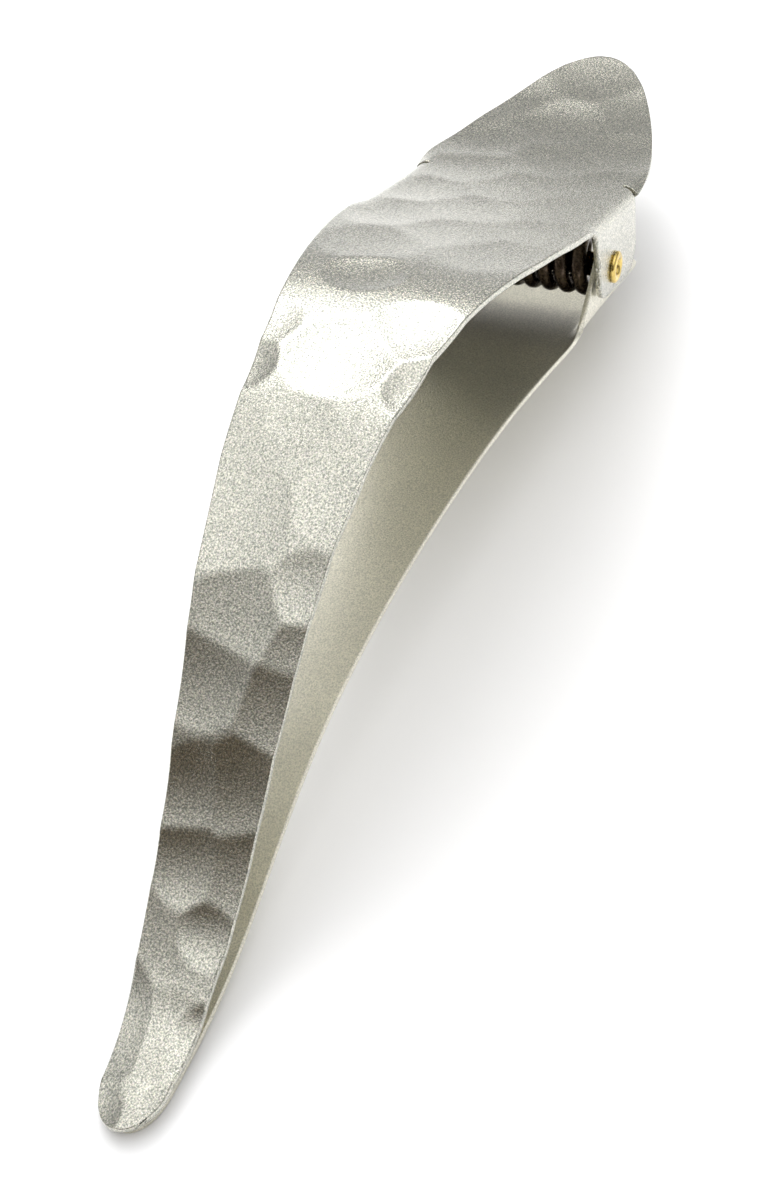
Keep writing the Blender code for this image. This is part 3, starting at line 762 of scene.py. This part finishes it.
# %% [markdown]
# ## Joining the model
# Each piece rides on its moving body and stands in for a CAD node, which is hidden; the slot names
# listed with them are not used here. The spring has one leg on each jaw; it is fixed where it stands, on
# neither body, and its CAD node is hidden too.
# %% Bodies and nodes
for piece, body, node, slot_name in ((upper, "upper", "upper_jaw", "hammered_sheet"),
                                     (lower, "lower", "lower_jaw", "plain_sheet"),
                                     (rivet, "upper", "hinge_pin", "pin_brass")):
    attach(piece, body)
    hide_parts(node)
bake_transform(spring)
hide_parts("torsion_spring")

# %% [markdown]
# ## The studio
# A white table, three lamps and a room. The key lamp throws the soft shadow and the fill lights the
# table from overhead, and neither shows in the metal. What does show is the room, which is bright
# overhead, dimmer at the walls and dark brown low down on the side that the tip points to, and a small
# window lamp, which makes the white patch on the front of the crest. The dark side gives the dishes
# their brown tones.
# %% Table
TABLE_SIZE = 6.0
select_none()
bpy.ops.mesh.primitive_plane_add(size=TABLE_SIZE, location=(0.0, 0.0, 0.0))
table = bpy.context.active_object
table.name = table.data.name = "table"
paper = bpy.data.materials.new("white table")
paper.use_nodes = True
paper_surface = paper.node_tree.nodes["Principled BSDF"]
paper_surface.inputs["Base Color"].default_value = (0.93, 0.93, 0.94, 1.0)
paper_surface.inputs["Roughness"].default_value = 0.9
paper_surface.inputs["Specular IOR Level"].default_value = 0.1
table.data.materials.append(paper)
print("table:", TABLE_SIZE, "m square")

# %% Lamps


def lamp(name, place, aim, size, power):
    """A square white lamp at a place, turned to face another. Size in metres, power in watts."""
    data = bpy.data.lights.new(name, 'AREA')
    data.shape = 'SQUARE'
    data.size = size
    data.energy = power
    light = bpy.data.objects.new(name, data)
    bpy.context.scene.collection.objects.link(light)
    light.location = place
    light.rotation_euler = (Vector(aim) - Vector(place)).to_track_quat('-Z', 'Y').to_euler()
    return light


key = lamp("soft key lamp", (-0.30, -0.20, 0.46), (0.0, 0.0, 0.0), size=0.46, power=1.35)
fill = lamp("overhead fill", (0.15, 0.05, 0.90), (0.0, 0.0, 0.0), size=1.2, power=3.4)
window = lamp("window", (-0.115, -0.055, 0.137), (0.007, 0.0, 0.028), size=0.068, power=0.051)
for unseen in (key, fill):
    unseen.visible_glossy = False
print("lamp power, W:", [round(light.data.energy, 3) for light in (key, fill, window)])

# %% Room
HORIZON, ZENITH = (0.45, 0.45, 0.445, 1.0), (1.45, 1.45, 1.44, 1.0)
DARK_SIDE = (0.125, 0.100, 0.070, 1.0)
toward_dark = Vector((0.98, 0.02, 0.14)).normalized()
world = bpy.data.worlds.new("room")
bpy.context.scene.world = world
world.use_nodes = True
room = world.node_tree
backdrop = room.nodes["Background"]
heading = add(room, 'ShaderNodeTexCoord').outputs["Generated"]
upwards = add(room, 'ShaderNodeSeparateXYZ', i0=heading)
ceiling = add(room, 'ShaderNodeMapRange', Value=upwards.outputs["Z"], From_Min=0.45, From_Max=1.0)
lit = add(room, 'ShaderNodeMix', {"data_type": 'RGBA'}, i0=ceiling.outputs["Result"],
          i6=HORIZON, i7=ZENITH)
facing = add(room, 'ShaderNodeVectorMath', {"operation": 'DOT_PRODUCT'}, i0=heading, i1=tuple(toward_dark))
dark = add(room, 'ShaderNodeMapRange', Value=facing.outputs["Value"], From_Min=0.50, From_Max=0.90)
walls = add(room, 'ShaderNodeMix', {"data_type": 'RGBA'}, i0=dark.outputs["Result"],
            i6=lit.outputs[2], i7=DARK_SIDE)
# Seen straight from the camera the room is plain white, so the picture has a white background
straight = add(room, 'ShaderNodeLightPath')
seen = add(room, 'ShaderNodeMix', {"data_type": 'RGBA'}, i0=straight.outputs["Is Camera Ray"],
           i6=walls.outputs[2], i7=(1.0, 1.0, 1.0, 1.0))
room.links.new(seen.outputs[2], backdrop.inputs["Color"])
bpy.context.scene.view_settings.view_transform = 'Standard'
print("room brightness, horizon and overhead:", HORIZON[0], ZENITH[0])
